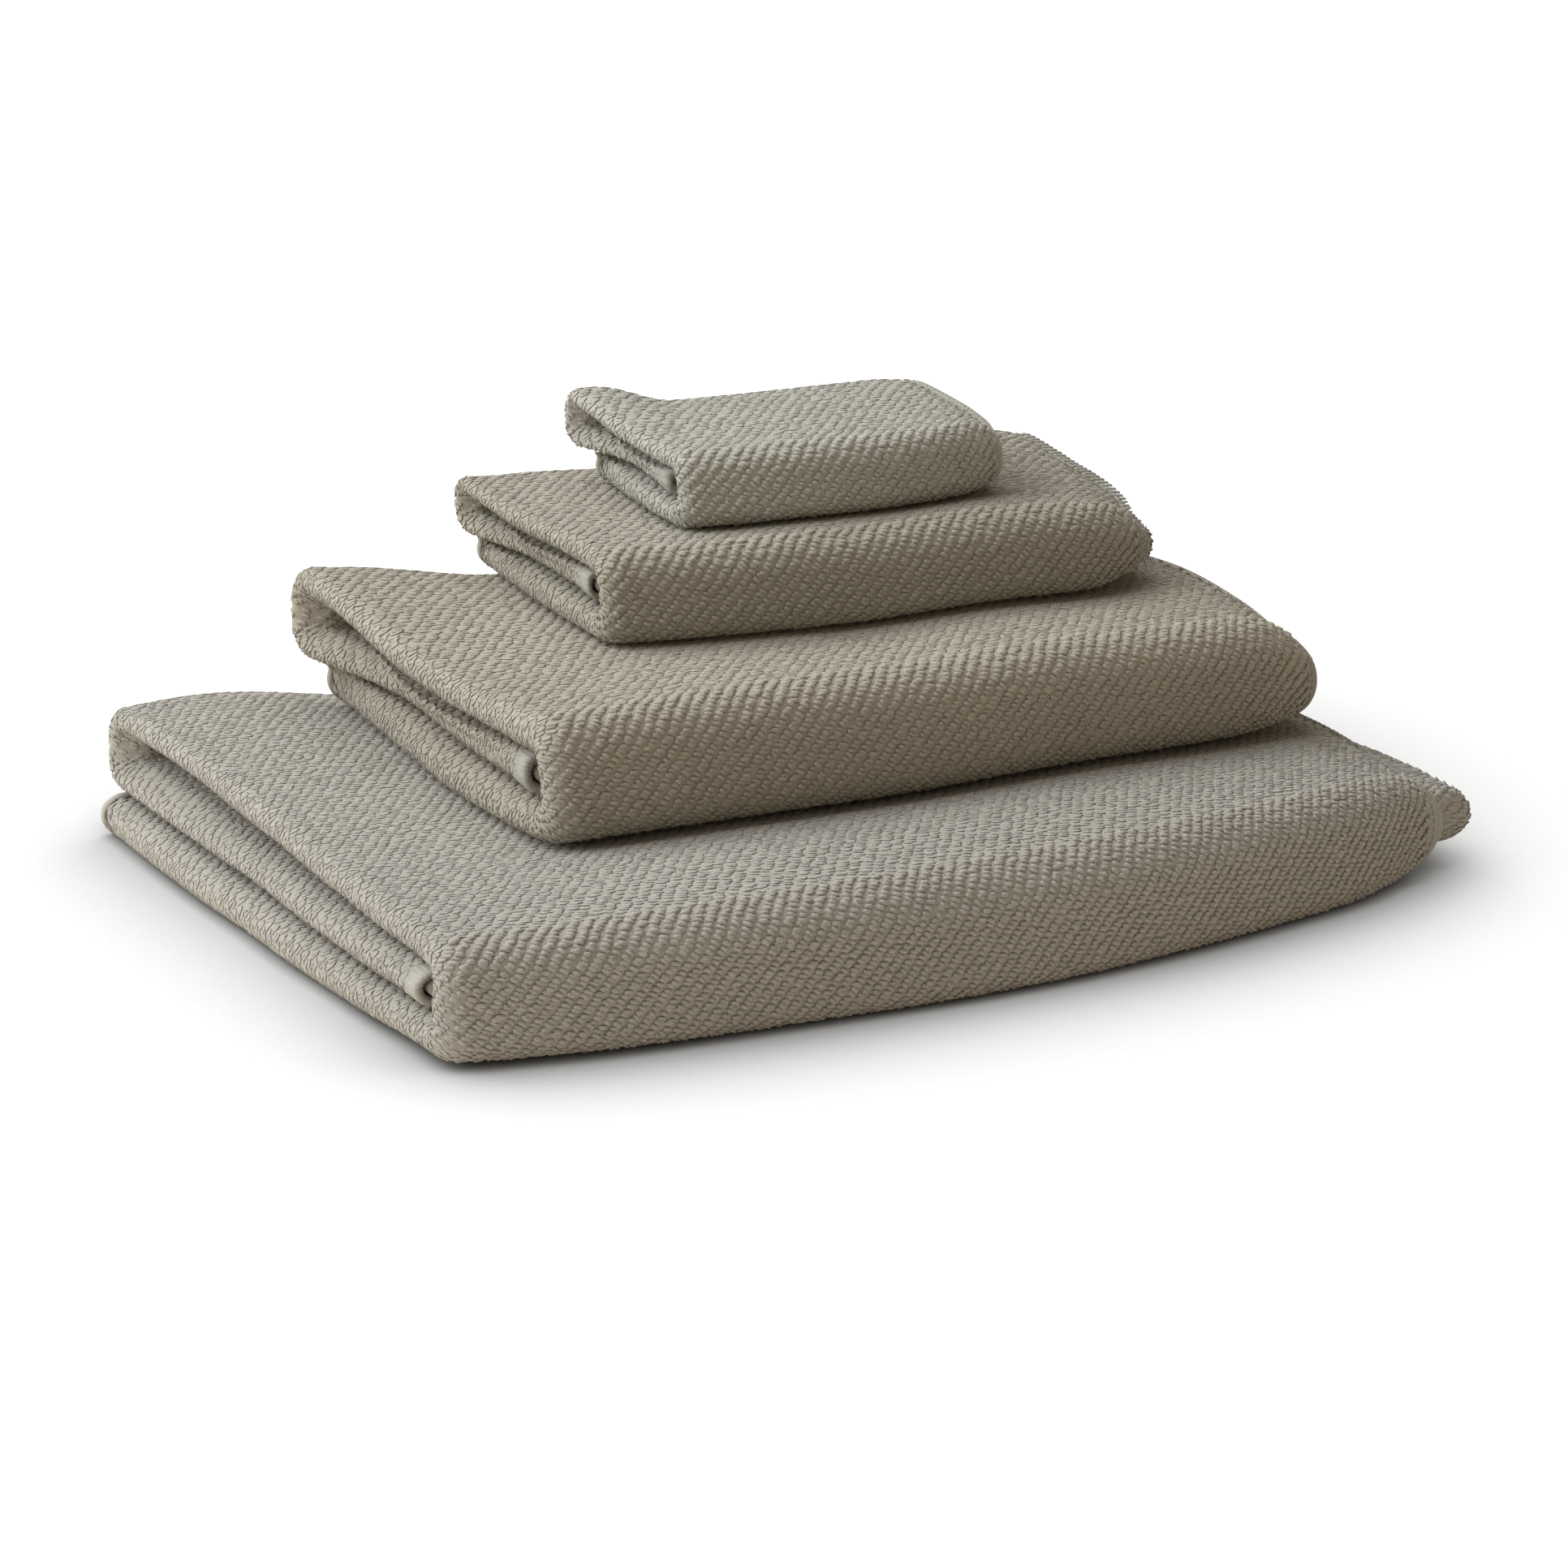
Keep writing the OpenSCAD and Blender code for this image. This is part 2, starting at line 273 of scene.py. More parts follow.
def spacedLine(p, q, step):
    # points from p up to but not including q
    n = max(1, round(math.dist(p, q) / step))
    return [(p[0] + (q[0] - p[0]) * k / n, p[1] + (q[1] - p[1]) * k / n) for k in range(n)]


# how finely the folded cloth is divided, in metres, and the steps in each end-over-end fold
clothStep = dict(hidden=0.009, front=0.003, top=0.0042, arc=0.0028,
                 outer=0.005, fold=0.003, inside=0.03, tip=0.004)
foldSteps = dict(left=20, right=8, inner=6)
# how far the plies show past the left fold and before the right end, and the innermost fold's gap
shownFrom = dict(left=0.010, right=0.004, inner=0.001)


def letterRun(t):
    # the run through the letter fold seen from the left end: place y, z and inward normal,
    # with the length run so far and which stretch it is: 0 bottom, 1 front wrap, 2 top,
    # 3 back wrap, 4 tucked in
    third, slit, depth, tall = thirdOf(t), folding["slit"], t["depth"], heightOf(t)
    r = third + slit / 2
    mid = third + slit
    freeEnd = depth - folding["backStep"] - 0.5 * folding["sideHem"]
    tuckedEnd = third + folding["pocket"] + folding["sideHem"]
    rows = []

    def line(p, q, normal, step, part):
        rows.extend((y, z, normal[0], normal[1], part) for y, z in spacedLine(p, q, step))

    def turn(cy, cz, a0, a1, steps, part):
        for k in range(steps):
            a = math.radians(a0 + (a1 - a0) * k / steps)
            rows.append((cy + r * math.cos(a), cz + r * math.sin(a), -math.cos(a), -math.sin(a), part))

    step = clothStep
    arcSteps = max(6, round(r * 1.57 / step["arc"]))
    line((freeEnd, 0), (r, 0), (0, 1), step["hidden"], 0)
    turn(r, r, 270, 180, arcSteps, 1)
    line((0, r), (0, tall - r), (1, 0), step["front"], 1)
    turn(r, tall - r, 180, 90, arcSteps, 1)
    line((r, tall), (depth - r, tall), (0, -1), step["top"], 2)
    turn(depth - r, tall - r, 90, -90, 2 * arcSteps, 3)
    line((depth - r, mid), (tuckedEnd, mid), (0, 1), step["hidden"], 4)
    rows.append((tuckedEnd, mid, 0, 1, 4))
    rows = np.array(rows)
    gaps = np.hypot(np.diff(rows[:, 0]), np.diff(rows[:, 1]))
    return dict(y=rows[:, 0], z=rows[:, 1], ny=rows[:, 2], nz=rows[:, 3], part=rows[:, 4],
                run=np.concatenate([[0], np.cumsum(gaps)]), freeEnd=freeEnd, tuckedEnd=tuckedEnd, mid=mid)


def endRun(t):
    # the cloth's run from one end hem to the other, as place x and depth of its pile side
    # under the outer face, the pile side's outward normal, and where its pile shows:
    # 0 nowhere, 1 on the outer ply, 2 round the left fold, 3 round the inner fold at the right
    ply, plies, room = t["ply"], t["plies"], folding["pileRoom"]
    hemX = t["length"] - t["endHem"]
    faceX = t["length"] - folding["edgeShown"]
    bend = plies / 2 * ply  # the left fold's radius
    rows = []

    def line(x0, x1, depth, out, step, shown):
        n = max(1, round(abs(x1 - x0) / step))
        rows.extend((x0 + (x1 - x0) * k / n, depth, 0, out, shown) for k in range(n))

    def turn(cx, cd, r, a0, a1, steps, side, shown):
        # angles run from +x towards deeper
        for k in range(steps):
            a = math.radians(a0 + (a1 - a0) * k / steps)
            c, d = math.cos(a), math.sin(a)
            rows.append((cx + r * c, cd + r * d, side * c, side * d, shown))

    step = clothStep
    deepest = plies * ply - room
    foldX = bend + shownFrom["left"]
    line(faceX, bend, room, -1, step["outer"], 1)
    turn(bend, bend, bend - room, 270, 90, foldSteps["left"], 1, 2)
    line(bend, foldX, deepest, 1, step["fold"], 2)
    if plies == 2:
        line(foldX, hemX, deepest, 1, step["inside"], 0)
        rows.append((hemX, deepest, 0, 1, 0))
    else:
        tip = t["length"] + t["peek"] - ply
        tipX = hemX - shownFrom["right"]
        innerX = bend + shownFrom["inner"]
        line(foldX, tipX, deepest, 1, step["inside"], 0)
        line(tipX, tip, deepest, 1, step["tip"], 3)
        turn(tip, 3 * ply, ply - room, 90, -90, foldSteps["right"], 1, 3)
        line(tip, tipX, 2 * ply + room, -1, step["tip"], 3)
        line(tipX, innerX, 2 * ply + room, -1, step["inside"], 0)
        turn(innerX, 2 * ply, room, 90, 270, foldSteps["inner"], -1, 0)
        line(innerX, hemX, 2 * ply - room, 1, step["inside"], 0)
        rows.append((hemX, 2 * ply - room, 0, 1, 0))
    rows = np.array(rows)
    gaps = np.hypot(np.diff(rows[:, 0]), np.diff(rows[:, 1]))
    run = np.concatenate([[0], np.cumsum(gaps)])
    return dict(x=rows[:, 0], d=rows[:, 1], nx=rows[:, 2], nd=rows[:, 3], shown=rows[:, 4],
                run=run[-1] - run)


def meshFrom(name, verts, quads, tris=()):
    mesh = bpy.data.meshes.new(name)
    faces = [tuple(int(k) for k in f) for f in quads] + [tuple(int(k) for k in f) for f in tris]
    mesh.from_pydata([tuple(p) for p in np.asarray(verts, float)], [], faces)
    mesh.update()
    obj = bpy.data.objects.new(name, mesh)
    bpy.context.scene.collection.objects.link(obj)
    mesh.polygons.foreach_set("use_smooth", np.ones(len(mesh.polygons), bool))
    return obj


def gridQuads(rows, cols, start=0, flip=False):
    i, j = np.meshgrid(np.arange(rows - 1), np.arange(cols - 1), indexing="ij")
    a = start + (i * cols + j).ravel()
    quads = np.stack([a, a + 1, a + cols + 1, a + cols], axis=1)
    return quads[:, ::-1] if flip else quads


def makeCloth(t, material):
    # the whole towel as one folded sheet with two faces and closed edges
    run, ends = letterRun(t), endRun(t)
    thick = t["ply"] - 2 * folding["pileRoom"] - folding["plySpare"]
    rows, cols = len(ends["x"]), len(run["y"])

    def face(x, d):
        return shaped(t, x[:, None], run["y"][None] + run["ny"][None] * d[:, None],
                      run["z"][None] + run["nz"][None] * d[:, None]).reshape(-1, 3)

    pileSide = face(ends["x"], ends["d"])
    backSide = face(ends["x"] - ends["nx"] * thick, ends["d"] - ends["nd"] * thick)
    n = rows * cols
    quads = [gridQuads(rows, cols), gridQuads(rows, cols, n, True)]
    edge = np.concatenate([np.arange(cols), np.arange(2, rows + 1) * cols - 1,
                           n - 2 - np.arange(cols - 1), np.arange(rows - 2, 0, -1) * cols])
    after = np.roll(edge, -1)
    quads.append(np.stack([edge, edge + n, after + n, after], axis=1))
    obj = meshFrom(t["label"] + "Terry", np.concatenate([pileSide, backSide]), np.concatenate(quads))
    mesh = obj.data
    # the flat cut, in metres, as the UV map
    u = np.repeat(ends["run"], cols)
    v = np.tile(run["run"], rows)
    flat = np.stack([np.concatenate([u, u + 5]), np.concatenate([v, v])], axis=1)
    loops = np.empty(len(mesh.loops), np.int32)
    mesh.loops.foreach_get("vertex_index", loops)
    loops[-4 * len(edge):] %= n  # the closing edges take up no room on the cut
    layer = mesh.uv_layers.new(name="flatCut")
    layer.data.foreach_set("uv", flat[loops].astype(np.float32).ravel())
    # where the pile stands: all that can be seen of the pile side
    shown, part = ends["shown"][:, None], run["part"][None]
    outer = (shown == 1) & ((part == 1) | (part == 2) | (part == 3))
    nearFold = (shown == 1) & (ends["x"][:, None] < 0.012)
    pile = outer | nearFold | (shown == 2) | (shown == 3)
    attribute = mesh.attributes.new("pile", "FLOAT", "POINT")
    standing = np.concatenate([pile.ravel(), np.zeros(n, bool)])
    attribute.data.foreach_set("value", standing.astype(np.float32))
    mesh.materials.append(material)
    t["run"], t["ends"] = run, ends
    return obj


def sweep(name, t, ring, stations, material, placeRing):
    # a closed band: ring points swept through the stations, with a cap at each end
    points = [placeRing(ring, k) for k in range(stations)]
    verts = shaped(t, *[np.array([p[axis] for p in points]) for axis in range(3)]).reshape(-1, 3)
    m = len(ring)
    i, j = np.meshgrid(np.arange(stations - 1), np.arange(m), indexing="ij")
    a = (i * m + j).ravel()
    b = (i * m + (j + 1) % m).ravel()
    quads = np.stack([a, b, b + m, a + m], axis=1)
    caps = [tuple(range(m - 1, -1, -1)), tuple(range((stations - 1) * m, stations * m))]
    obj = meshFrom(name, verts, quads, caps)
    facesOut(obj)
    obj.data.materials.append(material)
    return obj


def facesOut(obj):
    work = bmesh.new()
    work.from_mesh(obj.data)
    bmesh.ops.recalc_face_normals(work, faces=work.faces)
    work.to_mesh(obj.data)
    work.free()


# hem sections and stitches, in metres and degrees
hemShape = dict(groove=0.0004, outerGrooves=2, innerGrooves=5, outerSpare=0.0010, innerBack=0.0015,
                above=0.0006, below=0.0004, rollSpare=0.0004, rollInto=0.0006,
                scallopOut=0.0005, scallopThick=0.13)
stitching = dict(
    seam=dict(spacing=0.0034, slant=0, size=(0.0027, 0.0007, 0.0009), inward=0.0036, sink=0.0007),
    whip=dict(spacing=0.0044, slant=52, size=(0.0054, 0.0011, 0.0016), inward=0.0022, sink=0.0001))


def hemRing(x0, x1, top, bottom, grooves, grooveDepth):
    # a turned hem's section: grooved outside, round at its outer edge
    r = (bottom - top) / 2
    steps = 14
    outside = []
    for k in range(steps + 1):
        share = k / steps
        groove = grooveDepth * (0.5 - 0.5 * math.cos(share * grooves * 2 * math.pi))
        outside.append((x0 + (x1 - r - x0) * share, top + groove))
    nose = [(x1 - r + r * math.sin(a), top + r - r * math.cos(a))
            for a in np.linspace(0, math.pi, 9)[1:-1]]
    inside = [(x1 - r, bottom), ((x0 + x1) / 2, bottom), (x0, bottom)]
    return np.array(outside + nose + inside)


def makeEndHem(t, number, material):
    run, ply = t["run"], t["ply"]
    h = hemShape
    wide = folding["edgeShown"] + h["outerSpare"] if number == 0 else t["endHem"]
    grooves = h["outerGrooves"] if number == 0 else h["innerGrooves"]
    ring = hemRing(t["length"] - wide, t["length"] - h["innerBack"] * number, number * ply + h["above"],
                   (number + 1) * ply - h["below"], grooves, h["groove"])

    def place(ring, k):
        x, d = ring[:, 0], ring[:, 1]
        return x, run["y"][k] + run["ny"][k] * d, run["z"][k] + run["nz"][k] * d

    side = "Outer" if number == 0 else "Inner"
    return sweep(t["label"] + side + "EndHem", t, ring, len(run["y"]), material, place)


def makeStitches(t, tree, stitch, material):
    # the seam along the end hem: a straight row, or whip stitches over the edge
    run, kind = t["run"], stitching[t["stitch"]]
    k = np.where(run["part"] > 0)[0]
    x = np.full(len(k), t["length"] - kind["inward"])

    def at(d):
        return shaped(t, x, run["y"][k] + run["ny"][k] * d, run["z"][k] + run["nz"][k] * d)

    points = at(kind["sink"])
    outward = at(0.0) - at(0.002)
    outward /= np.linalg.norm(outward, axis=1)[:, None]
    mesh = bpy.data.meshes.new("hemLine")
    mesh.from_pydata([tuple(p) for p in points], [(i, i + 1) for i in range(len(k) - 1)], [])
    attribute = mesh.attributes.new("outward", "FLOAT_VECTOR", "POINT")
    attribute.data.foreach_set("vector", outward.astype(np.float32).ravel())
    line = bpy.data.objects.new("hemLine", mesh)
    bpy.context.scene.collection.objects.link(line)
    made = runTree(line, tree, {
        "Stitch": stitch, "Material": material, "Spacing": kind["spacing"],
        "Slant": math.radians(kind["slant"]), "Stitch Size": kind["size"],
        "Seed": t["seed"]}, t["label"] + "HemThread")
    bpy.data.objects.remove(line)
    return made


def makeSideHem(t, tucked, material):
    # the rolled side hems of all the plies, along the whole run of the cloth
    run, ends = t["run"], t["ends"]
    thick = t["ply"] - hemShape["rollSpare"]
    wide = folding["sideHem"] * (1.0 if tucked else 0.5)
    into = hemShape["rollInto"]
    ring = [(-into, thick / 2), (-into, -thick / 2)]
    for a in np.radians(np.linspace(-90, 90, 9)):
        ring.append((wide - thick / 2 + thick / 2 * math.cos(a), thick / 2 * math.sin(a)))
    ring = np.array(ring)
    middle = t["ply"] / 2 - folding["pileRoom"]

    def place(ring, k):
        out, across = ring[:, 0], ring[:, 1]
        if tucked and ends["shown"][k] == 2:
            # the overcast edge is scalloped where it shows
            out = out + hemShape["scallopOut"] * (-1) ** k
            across = across * (1 + hemShape["scallopThick"] * (-1) ** k)
        x = ends["x"][k] + ends["nx"][k] * (across - middle)
        d = ends["d"][k] + ends["nd"][k] * (across - middle)
        if tucked:
            return x, run["tuckedEnd"] - out, run["mid"] + d
        return x, run["freeEnd"] + out, d + 0 * out

    label = t["label"] + ("TuckedSideHem" if tucked else "BackSideHem")
    return sweep(label, t, ring, len(ends["x"]), material, place)


def addNode(tree, kind, **settings):
    node = tree.nodes.new(kind)
    for key, value in settings.items():
        setattr(node, key, value)
    return node


def feed(tree, source, socket):
    if hasattr(source, "is_output"):
        tree.links.new(source, socket)
    else:
        socket.default_value = source


def vectorMath(tree, operation, *values, out=0):
    node = addNode(tree, "ShaderNodeVectorMath", operation=operation)
    for value, socket in zip(values, node.inputs):
        if value is not None:
            feed(tree, value, socket)
    return node.outputs[out]


def plainMath(tree, operation, *values):
    node = addNode(tree, "ShaderNodeMath", operation=operation)
    for value, socket in zip(values, node.inputs):
        feed(tree, value, socket)
    return node.outputs[0]


def combine(tree, x, y, z):
    node = addNode(tree, "ShaderNodeCombineXYZ")
    for value, socket in zip((x, y, z), node.inputs):
        feed(tree, value, socket)
    return node.outputs[0]


def newTree(name, sockets):
    tree = bpy.data.node_groups.new(name, "GeometryNodeTree")
    tree.interface.new_socket(name="Geometry", in_out="OUTPUT", socket_type="NodeSocketGeometry")
    tree.interface.new_socket(name="Geometry", in_out="INPUT", socket_type="NodeSocketGeometry")
    for label, kind, value in sockets:
        item = tree.interface.new_socket(name=label, in_out="INPUT", socket_type="NodeSocket" + kind)
        if value is not None:
            item.default_value = value
    into = addNode(tree, "NodeGroupInput")
    out = addNode(tree, "NodeGroupOutput")
    return tree, into.outputs, out.inputs[0]


def runTree(obj, tree, values, name):
    # runs a tree on an object and returns the result as a plain mesh object
    modifier = obj.modifiers.new(tree.name, "NODES")
    modifier.node_group = tree
    keys = {item.name: item.identifier for item in tree.interface.items_tree if item.in_out == "INPUT"}
    for label, value in values.items():
        modifier[keys[label]] = value
    obj.update_tag()
    bpy.context.view_layer.update()
    ready = obj.evaluated_get(bpy.context.evaluated_depsgraph_get())
    mesh = bpy.data.meshes.new_from_object(ready)
    obj.modifiers.remove(modifier)
    mesh.name = name
    made = bpy.data.objects.new(name, mesh)
    bpy.context.scene.collection.objects.link(made)
    return made


# the pile's loops: random shift, length and height, and how freely they turn
pileKinds = dict(
    front=dict(jitter=0.00040, long=0.98, tall=0.0019, sway=1.0),  # neat ribs
    rest=dict(jitter=0.00075, long=1.08, tall=0.00042, sway=0.32))  # softer and flatter
# each loop turns by up to these radians, and takes a size between these shares of the loop's own
loopVary = dict(turn=(0.35, 0.28, 0.34), small=(0.86, 0.84, 0.72), large=(1.12, 1.14, 1.25))
barTilt = -20  # how a loop's bar lies on the flat cut, in degrees


def pileTree():
    # rows of terry loops: a lattice on the flat cut, carried onto the folded cloth
    tree, get, out = newTree("terryPile", [
        ("Loop", "Object", None), ("Material", "Material", None), ("Low", "Vector", None),
        ("High", "Vector", None), ("Rib Pitch", "Float", 0.0042), ("Loop Gap", "Float", 0.0020),
        ("Rib Angle", "Float", 0.9), ("Bar Tilt", "Float", -0.35), ("Loop Size", "Vector", None),
        ("Sway", "Float", 1.0), ("Jitter", "Float", 0.0003), ("Seed", "Int", 1)])
    cloth, pitch, gap, angle = get["Geometry"], get["Rib Pitch"], get["Loop Gap"], get["Rib Angle"]
    # a lattice wide enough for the region, in step with every other region's
    span = vectorMath(tree, "SUBTRACT", get["High"], get["Low"])
    reach = vectorMath(tree, "LENGTH", span, out=1)
    counts = []
    for step in (pitch, gap):
        half = plainMath(tree, "DIVIDE", plainMath(tree, "MULTIPLY", reach, 0.5), step)
        counts.append(plainMath(tree, "ADD", plainMath(tree, "CEIL", half), 1.0))
    grid = addNode(tree, "GeometryNodeMeshGrid")
    for k, step in enumerate((pitch, gap)):
        whole = plainMath(tree, "MULTIPLY", counts[k], 2.0)
        feed(tree, plainMath(tree, "MULTIPLY", whole, step), grid.inputs[k])
        feed(tree, plainMath(tree, "ADD", whole, 1.0), grid.inputs[2 + k])
    lean = plainMath(tree, "SUBTRACT", angle, math.pi / 2)
    centre = vectorMath(tree, "SCALE", vectorMath(tree, "ADD", get["High"], get["Low"]))
    centre.node.inputs["Scale"].default_value = 0.5

    def rotated(vector, turn):
        node = addNode(tree, "ShaderNodeVectorRotate", rotation_type="Z_AXIS")
        feed(tree, vector, node.inputs["Vector"])
        feed(tree, turn, node.inputs["Angle"])
        return node.outputs[0]

    unlean = plainMath(tree, "MULTIPLY", lean, -1.0)
    snapped = vectorMath(tree, "SNAP", rotated(centre, unlean), combine(tree, pitch, gap, 1.0))
    position = addNode(tree, "GeometryNodeInputPosition").outputs[0]
    wobble = addNode(tree, "FunctionNodeRandomValue", data_type="FLOAT_VECTOR")
    feed(tree, get["Seed"], wobble.inputs["Seed"])
    feed(tree, (-1.0, -1.0, 0.0), wobble.inputs[0])
    feed(tree, (1.0, 1.0, 0.0), wobble.inputs[1])
    offset = vectorMath(tree, "SCALE", wobble.outputs[0])
    feed(tree, get["Jitter"], offset.node.inputs["Scale"])
    latticePlace = rotated(vectorMath(tree, "ADD", position, snapped), lean)
    laid = addNode(tree, "GeometryNodeSetPosition")
    feed(tree, grid.outputs[0], laid.inputs["Geometry"])
    feed(tree, vectorMath(tree, "ADD", latticePlace, offset), laid.inputs["Position"])
    # leave out what lies past the region's edges or where no pile shows
    flatCut = addNode(tree, "GeometryNodeInputNamedAttribute", data_type="FLOAT_VECTOR")
    flatCut.inputs["Name"].default_value = "flatCut"

    def onCloth(value, kind, spot):
        node = addNode(tree, "GeometryNodeSampleUVSurface", data_type=kind)
        feed(tree, cloth, node.inputs["Mesh"])
        feed(tree, value, node.inputs["Value"])
        feed(tree, flatCut.outputs["Attribute"], node.inputs[2])
        feed(tree, spot, node.inputs[3])
        return node.outputs["Value"], node.outputs["Is Valid"]

    spot = addNode(tree, "GeometryNodeInputPosition").outputs[0]
    pileMask = addNode(tree, "GeometryNodeInputNamedAttribute", data_type="FLOAT")
    pileMask.inputs["Name"].default_value = "pile"
    mask, valid = onCloth(pileMask.outputs["Attribute"], "FLOAT", spot)
    tests = [plainMath(tree, "GREATER_THAN", mask, 0.5), valid]
    for bound, test in ((get["Low"], "GREATER_THAN"), (get["High"], "LESS_THAN")):
        split = addNode(tree, "ShaderNodeSeparateXYZ")
        feed(tree, vectorMath(tree, "SUBTRACT", spot, bound), split.inputs[0])
        for axis in (0, 1):
            tests.append(plainMath(tree, test, split.outputs[axis], 0.0))
    keep = tests[0]
    for passed in tests[1:]:
        keep = plainMath(tree, "MULTIPLY", keep, passed)
    trim = addNode(tree, "GeometryNodeDeleteGeometry", domain="POINT")
    feed(tree, laid.outputs[0], trim.inputs["Geometry"])
    feed(tree, plainMath(tree, "LESS_THAN", keep, 0.5), trim.inputs["Selection"])
    # where each loop stands, which way is out and which way its bar lies
    clothPlace = addNode(tree, "GeometryNodeInputPosition").outputs[0]
    clothNormal = addNode(tree, "GeometryNodeInputNormal").outputs[0]
    place, _ = onCloth(clothPlace, "FLOAT_VECTOR", spot)
    outward, _ = onCloth(clothNormal, "FLOAT_VECTOR", spot)
    tilt = get["Bar Tilt"]
    barWay = combine(tree, plainMath(tree, "COSINE", tilt), plainMath(tree, "SINE", tilt), 0.0)
    nudge = vectorMath(tree, "SCALE", barWay)
    nudge.node.inputs["Scale"].default_value = 0.0006  # a short step along the bar
    ahead, _ = onCloth(clothPlace, "FLOAT_VECTOR", vectorMath(tree, "ADD", spot, nudge))
    along = vectorMath(tree, "SUBTRACT", ahead, place)
    facing = addNode(tree, "FunctionNodeAxesToRotation", primary_axis="Z", secondary_axis="X")
    feed(tree, outward, facing.inputs[0])
    feed(tree, along, facing.inputs[1])
    held = addNode(tree, "GeometryNodeCaptureAttribute", domain="POINT")
    held.capture_items.new("VECTOR", "Place")
    held.capture_items.new("ROTATION", "Facing")
    feed(tree, trim.outputs[0], held.inputs["Geometry"])
    feed(tree, place, held.inputs["Place"])
    feed(tree, facing.outputs[0], held.inputs["Facing"])
    lifted = addNode(tree, "GeometryNodeSetPosition")
    feed(tree, held.outputs["Geometry"], lifted.inputs["Geometry"])
    feed(tree, held.outputs["Place"], lifted.inputs["Position"])
    # each loop a little different
    twist = addNode(tree, "FunctionNodeRandomValue", data_type="FLOAT_VECTOR")
    feed(tree, plainMath(tree, "ADD", get["Seed"], 7.0), twist.inputs["Seed"])
    feed(tree, tuple(-a for a in loopVary["turn"]), twist.inputs[0])
    feed(tree, loopVary["turn"], twist.inputs[1])
    turned = addNode(tree, "FunctionNodeRotateRotation", rotation_space="LOCAL")
    feed(tree, held.outputs["Facing"], turned.inputs[0])
    euler = addNode(tree, "FunctionNodeEulerToRotation")
    sway = vectorMath(tree, "SCALE", twist.outputs[0])
    feed(tree, get["Sway"], sway.node.inputs["Scale"])
    feed(tree, sway, euler.inputs[0])
    feed(tree, euler.outputs[0], turned.inputs[1])
    swell = addNode(tree, "FunctionNodeRandomValue", data_type="FLOAT_VECTOR")
    feed(tree, plainMath(tree, "ADD", get["Seed"], 13.0), swell.inputs["Seed"])
    feed(tree, loopVary["small"], swell.inputs[0])
    feed(tree, loopVary["large"], swell.inputs[1])
    loop = addNode(tree, "GeometryNodeObjectInfo")
    feed(tree, get["Loop"], loop.inputs["Object"])
    stand = addNode(tree, "GeometryNodeInstanceOnPoints")
    feed(tree, lifted.outputs[0], stand.inputs["Points"])
    feed(tree, loop.outputs["Geometry"], stand.inputs["Instance"])
    feed(tree, turned.outputs[0], stand.inputs["Rotation"])
    feed(tree, vectorMath(tree, "MULTIPLY", swell.outputs[0], get["Loop Size"]), stand.inputs["Scale"])
    tint = addNode(tree, "FunctionNodeRandomValue", data_type="FLOAT")
    feed(tree, plainMath(tree, "ADD", get["Seed"], 29.0), tint.inputs["Seed"])
    keepTint = addNode(tree, "GeometryNodeStoreNamedAttribute", data_type="FLOAT", domain="INSTANCE")
    keepTint.inputs["Name"].default_value = "loopTint"
    feed(tree, stand.outputs[0], keepTint.inputs["Geometry"])
    feed(tree, tint.outputs[1], keepTint.inputs["Value"])
    real = addNode(tree, "GeometryNodeRealizeInstances")
    feed(tree, keepTint.outputs[0], real.inputs[0])
    dress = addNode(tree, "GeometryNodeSetMaterial")
    feed(tree, real.outputs[0], dress.inputs["Geometry"])
    feed(tree, get["Material"], dress.inputs["Material"])
    feed(tree, dress.outputs[0], out)
    return tree


def makeLoop(name, sides, ringPlace, middle, ends):
    # a short closed bar, a unit long and wide, whose ends dip into the cloth
    crest = 0.6
    verts = [(-0.5, 0, ends)]
    for x in (-ringPlace, ringPlace):
        for k in range(sides):
            a = 2 * math.pi * (k + 0.25) / sides
            verts.append((x, 0.5 * math.cos(a), middle + (crest - middle) * math.sin(a)))
    verts.append((0.5, 0, ends))
    last = len(verts) - 1
    quads, tris = [], []
    for k in range(sides):
        n = (k + 1) % sides
        tris.append((0, 1 + n, 1 + k))
        quads.append((1 + k, 1 + n, 1 + sides + n, 1 + sides + k))
        tris.append((1 + sides + k, 1 + sides + n, last))
    obj = meshFrom(name, verts, quads, tris)
    facesOut(obj)
    return obj


stitchSway = (0.04, 0.06, 0.16)  # how far each stitch may turn from its place, in radians


